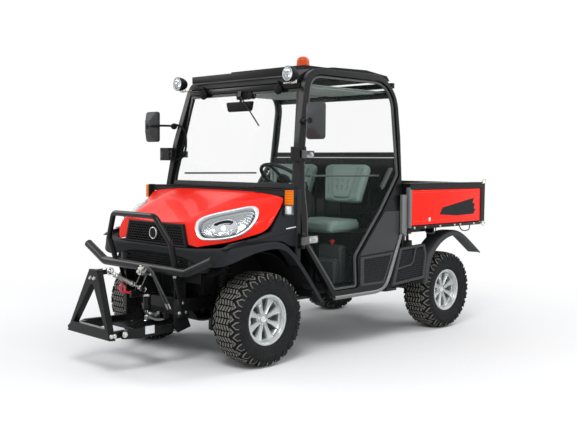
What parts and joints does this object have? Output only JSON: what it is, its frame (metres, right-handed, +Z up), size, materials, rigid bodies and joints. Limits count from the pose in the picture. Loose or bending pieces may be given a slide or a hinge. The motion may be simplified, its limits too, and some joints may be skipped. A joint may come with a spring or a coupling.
{
  "type": "side by side utility vehicle",
  "caption": "Red and charcoal side by side utility vehicle with a glazed cab, tipping load bed, four block-tread tyres and a powered three-point linkage on the front",
  "frame": {"origin": "under the middle of the whole vehicle, on the ground", "axes": "+Z up, the front towards -Y, the vehicle's left towards +X"},
  "size_m": [1.942, 3.41, 2.1893],
  "materials": {
    "tyre_rubber": "matt black rubber, dusty",
    "rim_silver": "satin painted alloy",
    "body_red": "gloss red",
    "body_charcoal": "grained charcoal",
    "frame_black": "satin black",
    "steel_black": "gloss black",
    "steel_plated": "zinc plated",
    "rod_chrome": "polished",
    "cab_pane": "clear, slightly green",
    "lamp_clear": "clear cover",
    "lamp_amber": "amber",
    "seat_vinyl": "grey-green vinyl",
    "roof_black": "dark grey",
    "machine_grey": "cast, oily"
  },
  "bodies": {
    "chassis": {"chassis_frame": "frame_black", "cab_frame": "frame_black", "windscreen_frame": "frame_black", "cab_glass": "cab_pane", "rear_wall": "frame_black", "floor_pan": "body_charcoal", "seat_box": "body_charcoal", "seat_cushions": "seat_vinyl", "seat_backs": "seat_vinyl", "dashboard": "body_charcoal", "levers_and_pedals": "frame_black", "roof": "roof_black", "front_fascia": "body_charcoal", "front_flares": "body_charcoal", "rear_flares": "body_charcoal", "cowl": "body_charcoal", "guard_bar": "steel_black", "linkage_mount": "steel_black", "front_suspension": "frame_black", "front_axle": "machine_grey", "rear_axle": "machine_grey", "engine_block": "machine_grey", "side_panels": "body_charcoal", "mirrors": "steel_black", "signal_lamps": "lamp_amber", "work_lamps": "steel_black", "beacon": "lamp_amber", "wiper": "steel_black"},
    "hood": {"hood": "body_red", "headlamps": "lamp_clear", "hood_grille": "steel_black"},
    "bed": {"bed_tub": "frame_black", "bed_side_panels": "body_red"},
    "tailgate": {"tailgate": "frame_black"},
    "bed_cylinder_barrel": {"bed_barrel": "steel_black"},
    "bed_cylinder_rod": {"bed_rod": "rod_chrome"},
    "lift_arms": {"lift_arms": "steel_black"},
    "coupler": {"a_frame_coupler": "steel_black"},
    "top_link": {"top_link": "steel_plated"},
    "lift_cylinder_barrel": {"lift_barrel": "steel_black"},
    "lift_cylinder_rod": {"lift_rod": "rod_chrome"},
    "door_left": {"door_left_frame": "steel_plated", "door_left_glass": "cab_pane"},
    "door_right": {"door_right_frame": "steel_plated", "door_right_glass": "cab_pane"},
    "knuckle_left": {"knuckle_left": "machine_grey"},
    "knuckle_right": {"knuckle_right": "machine_grey"},
    "steering_rack": {"steering_rack": "machine_grey"},
    "steering_wheel": {"steering_wheel": "body_charcoal"},
    "wheel_front_left": {"tyre_front_left": "tyre_rubber", "rim_front_left": "rim_silver"},
    "wheel_front_right": {"tyre_front_right": "tyre_rubber", "rim_front_right": "rim_silver"},
    "wheel_rear_left": {"tyre_rear_left": "tyre_rubber", "rim_rear_left": "rim_silver"},
    "wheel_rear_right": {"tyre_rear_right": "tyre_rubber", "rim_rear_right": "rim_silver"}
  },
  "joints": [
    {"name": "spin_front_left", "type": "hinge", "parent": "knuckle_left", "child": "wheel_front_left", "pos_m": [0.593, -0.7725, 0.314], "axis": [1, 0, 0], "continuous": true},
    {"name": "spin_front_right", "type": "hinge", "parent": "knuckle_right", "child": "wheel_front_right", "pos_m": [-0.593, -0.7725, 0.314], "axis": [1, 0, 0], "continuous": true},
    {"name": "spin_rear_left", "type": "hinge", "parent": "chassis", "child": "wheel_rear_left", "pos_m": [0.593, 1.2625, 0.314], "axis": [1, 0, 0], "continuous": true},
    {"name": "spin_rear_right", "type": "hinge", "parent": "chassis", "child": "wheel_rear_right", "pos_m": [-0.593, 1.2625, 0.314], "axis": [1, 0, 0], "continuous": true},
    {"name": "steer_left", "type": "hinge", "parent": "chassis", "child": "knuckle_left", "pos_m": [0.47, -0.7725, 0.314], "axis": [0, 0, 1], "range_deg": [-30, 30]},
    {"name": "steer_right", "type": "hinge", "parent": "chassis", "child": "knuckle_right", "pos_m": [-0.47, -0.7725, 0.314], "axis": [0, 0, 1], "range_deg": [-30, 30]},
    {"name": "rack_slide", "type": "slide", "parent": "chassis", "child": "steering_rack", "axis": [-1, 0, 0], "range_m": [-0.06, 0.06]},
    {"name": "steering_turn", "type": "hinge", "parent": "chassis", "child": "steering_wheel", "pos_m": [0.345, -0.295, 1.235], "axis": [0, 0.5736, 0.8192], "range_deg": [-425, 425]},
    {"name": "door_left_swing", "type": "hinge", "parent": "chassis", "child": "door_left", "pos_m": [0.785, -0.545, 1.1], "axis": [0, 0, 1], "range_deg": [-75, 0]},
    {"name": "door_right_swing", "type": "hinge", "parent": "chassis", "child": "door_right", "pos_m": [-0.785, -0.545, 1.1], "axis": [0, 0, 1], "range_deg": [0, 75]},
    {"name": "hood_lift", "type": "hinge", "parent": "chassis", "child": "hood", "pos_m": [0, -0.673, 1.15], "axis": [-1, 0, 0], "range_deg": [0, 45]},
    {"name": "bed_tip", "type": "hinge", "parent": "chassis", "child": "bed", "pos_m": [0, 1.545, 0.838], "axis": [-1, 0, 0], "range_deg": [0, 45]},
    {"name": "tailgate_drop", "type": "hinge", "parent": "bed", "child": "tailgate", "pos_m": [0, 1.64, 0.855], "axis": [-1, 0, 0], "range_deg": [0, 90]},
    {"name": "bed_barrel_swing", "type": "hinge", "parent": "chassis", "child": "bed_cylinder_barrel", "pos_m": [0, 1.045, 0.47], "axis": [-1, 0, 0], "range_deg": [-6, 6]},
    {"name": "bed_rod_slide", "type": "slide", "parent": "bed_cylinder_barrel", "child": "bed_cylinder_rod", "axis": [0, 0.4522, 0.8919], "range_m": [0, 0.27]},
    {"name": "arms_lift", "type": "hinge", "parent": "chassis", "child": "lift_arms", "pos_m": [0, -1.199, 0.256], "axis": [-1, 0, 0], "range_deg": [-15, 25]},
    {"name": "coupler_tilt", "type": "hinge", "parent": "lift_arms", "child": "coupler", "pos_m": [0, -1.598, 0.265], "axis": [-1, 0, 0], "range_deg": [-12, 8]},
    {"name": "top_link_swing", "type": "hinge", "parent": "chassis", "child": "top_link", "pos_m": [0, -1.294, 0.501], "axis": [-1, 0, 0], "range_deg": [-26, 42]},
    {"name": "lift_barrel_swing", "type": "hinge", "parent": "chassis", "child": "lift_cylinder_barrel", "pos_m": [0, -1.245, 0.598], "axis": [-1, 0, 0], "range_deg": [-4, 4]},
    {"name": "lift_rod_slide", "type": "slide", "parent": "lift_cylinder_barrel", "child": "lift_cylinder_rod", "axis": [0, 0, 1], "range_m": [-0.016, 0.026]}
  ],
  "couplings": [
    {"joint": "steer_right", "follows": "steer_left", "ratio": 1},
    {"joint": "rack_slide", "follows": "steer_left", "m_per_rad": 0.11},
    {"joint": "steering_turn", "follows": "steer_left", "ratio": 14},
    {"joint": "bed_rod_slide", "follows": "bed_tip", "m_per_rad": 0.3108},
    {"joint": "bed_barrel_swing", "follows": "bed_tip", "ratio": 0.02},
    {"joint": "coupler_tilt", "follows": "arms_lift", "ratio": -0.3},
    {"joint": "top_link_swing", "follows": "arms_lift", "ratio": 1.55},
    {"joint": "lift_rod_slide", "follows": "arms_lift", "m_per_rad": 0.046},
    {"joint": "lift_barrel_swing", "follows": "arms_lift", "ratio": -0.05}
  ]
}
